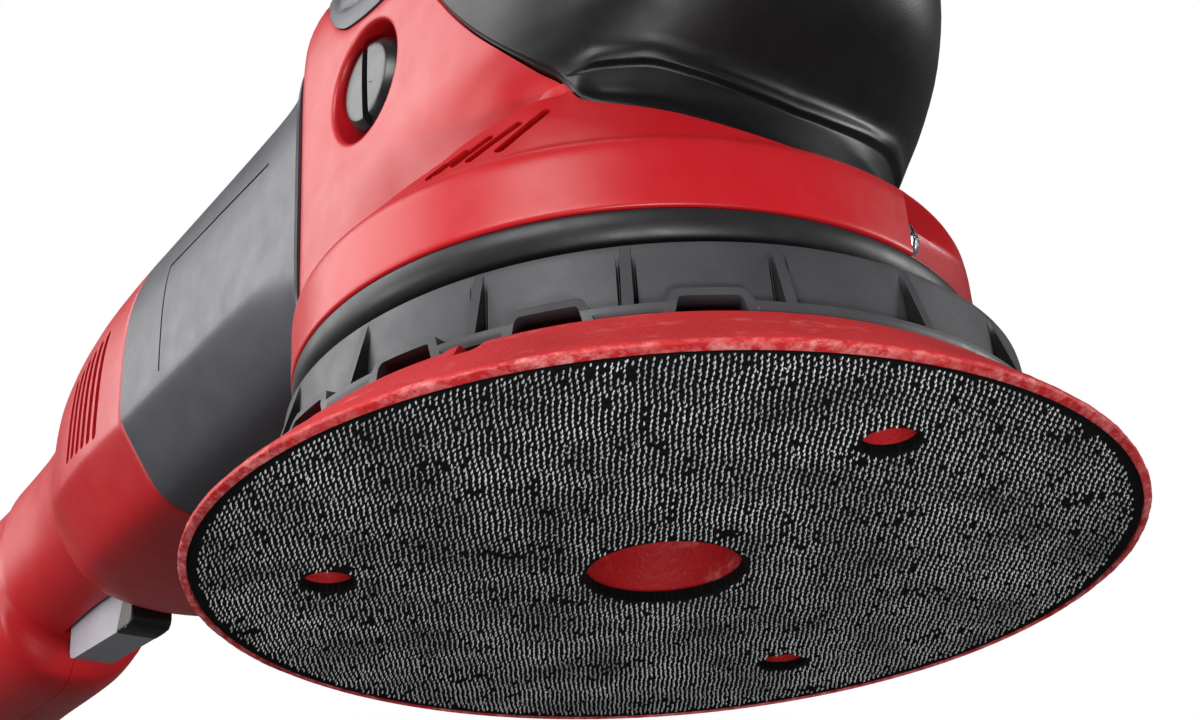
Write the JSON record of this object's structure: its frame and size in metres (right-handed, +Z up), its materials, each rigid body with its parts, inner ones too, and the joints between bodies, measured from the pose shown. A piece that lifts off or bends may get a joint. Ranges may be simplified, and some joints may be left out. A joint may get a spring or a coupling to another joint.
{
  "type": "orbital sander",
  "caption": "Handheld random-orbit sander: round hook-faced foam pad with fan shroud, geared head with front hood, motor barrel, rear handle with trigger.",
  "frame": {"origin": "centre of the sanding face, on the pad's own axis", "axes": "+Z up from the sanding face into the tool, +X to the front of the tool (the handle points along -X), +Y to its left side"},
  "size_m": [0.3994, 0.1268, 0.12],
  "materials": {
    "hook_fabric": "black hook tape with fine pale hooks in close rows",
    "pad_foam": "skinned red foam, slightly worn and paler along its edge",
    "shroud_plastic": "satin glass-filled moulding",
    "steel": "ground",
    "black_plastic": "satin moulding",
    "laminated_iron": "stacked laminations",
    "copper": "enamelled winding wire",
    "red_plastic": "satin-gloss moulding with a fine grain",
    "black_rubber": "soft over-moulding",
    "grey_plastic": "satin soft-touch moulding",
    "cast_alloy": "die cast",
    "gloss_black_plastic": "gloss",
    "bright_screw": "bright zinc",
    "brass": "bare",
    "carbon": "pressed carbon",
    "trigger_plastic": "satin moulding"
  },
  "bodies": {
    "housing": {"gear_head": "red_plastic", "guard_ring": "black_rubber", "front_hood": "black_rubber", "top_cover": "grey_plastic", "gear_case": "cast_alloy", "bearing_plate": "cast_alloy", "case_screws": "steel", "spindle_bearing_lower": "steel", "spindle_bearing_upper": "steel", "armature_bearing_front": "steel", "armature_bearing_rear": "steel", "socket_cap_right": "gloss_black_plastic", "socket_cap_left": "gloss_black_plastic", "skirt_screw": "bright_screw", "motor_housing": "grey_plastic", "fan_baffle": "black_plastic", "stator_core": "laminated_iron", "field_coils": "copper", "rear_bracket": "black_plastic", "brush_holders": "brass", "carbon_brushes": "carbon", "brush_springs": "steel", "rear_shell_right": "red_plastic", "rear_shell_left": "red_plastic", "shell_screws": "steel", "electronics_module": "black_plastic", "dial_axle": "steel", "switch_module": "black_plastic", "trigger_pin": "steel", "noise_filter": "black_plastic", "cable_clamp": "black_plastic", "clamp_screws": "steel", "cable_gland": "black_rubber"},
    "spindle": {"spindle": "steel", "eccentric_hub": "steel", "counterweight": "steel", "pad_bearing": "steel", "crown_gear": "steel"},
    "pad": {"hook_face": "hook_fabric", "foam_pad": "pad_foam", "backing_plate": "shroud_plastic", "pad_arbor": "steel", "arbor_circlip": "steel", "pad_washer": "steel", "pad_bolt": "steel"},
    "armature": {"armature_shaft": "steel", "drive_pinion": "steel", "cooling_fan": "black_plastic", "armature_core": "laminated_iron", "armature_windings": "copper", "commutator": "copper"},
    "trigger": {"trigger": "trigger_plastic", "trigger_spring": "steel"},
    "lock_button": {"lock_button": "black_plastic"},
    "speed_dial": {"speed_dial": "black_plastic"}
  },
  "joints": [
    {"name": "spindle_spin", "type": "hinge", "parent": "housing", "child": "spindle", "pos_m": [0, -0.0025, 0.05], "axis": [0, 0, 1], "continuous": true},
    {"name": "armature_spin", "type": "hinge", "parent": "housing", "child": "armature", "pos_m": [-0.08, -0.0025, 0.077], "axis": [1, 0, 0], "continuous": true},
    {"name": "pad_spin", "type": "hinge", "parent": "spindle", "child": "pad", "pos_m": [0, 0, 0.029], "axis": [0, 0, 1], "continuous": true},
    {"name": "trigger_pull", "type": "hinge", "parent": "housing", "child": "trigger", "pos_m": [-0.208, -0.0025, 0.069], "axis": [0, -1, 0], "range_deg": [0, 6.5], "stiffness_Nm_per_rad": 1.2, "springref_deg": -6.88, "deforming": ["trigger_spring"]},
    {"name": "lock_press", "type": "slide", "parent": "housing", "child": "lock_button", "axis": [0, -1, 0], "range_m": [0, 0.0025], "stiffness_N_per_m": 800, "springref_m": -0.001},
    {"name": "speed_set", "type": "hinge", "parent": "housing", "child": "speed_dial", "pos_m": [-0.16, -0.0025, 0.097], "axis": [0, 1, 0], "range_deg": [0, 270]}
  ],
  "couplings": [
    {"joint": "armature_spin", "follows": "spindle_spin", "ratio": -3}
  ]
}
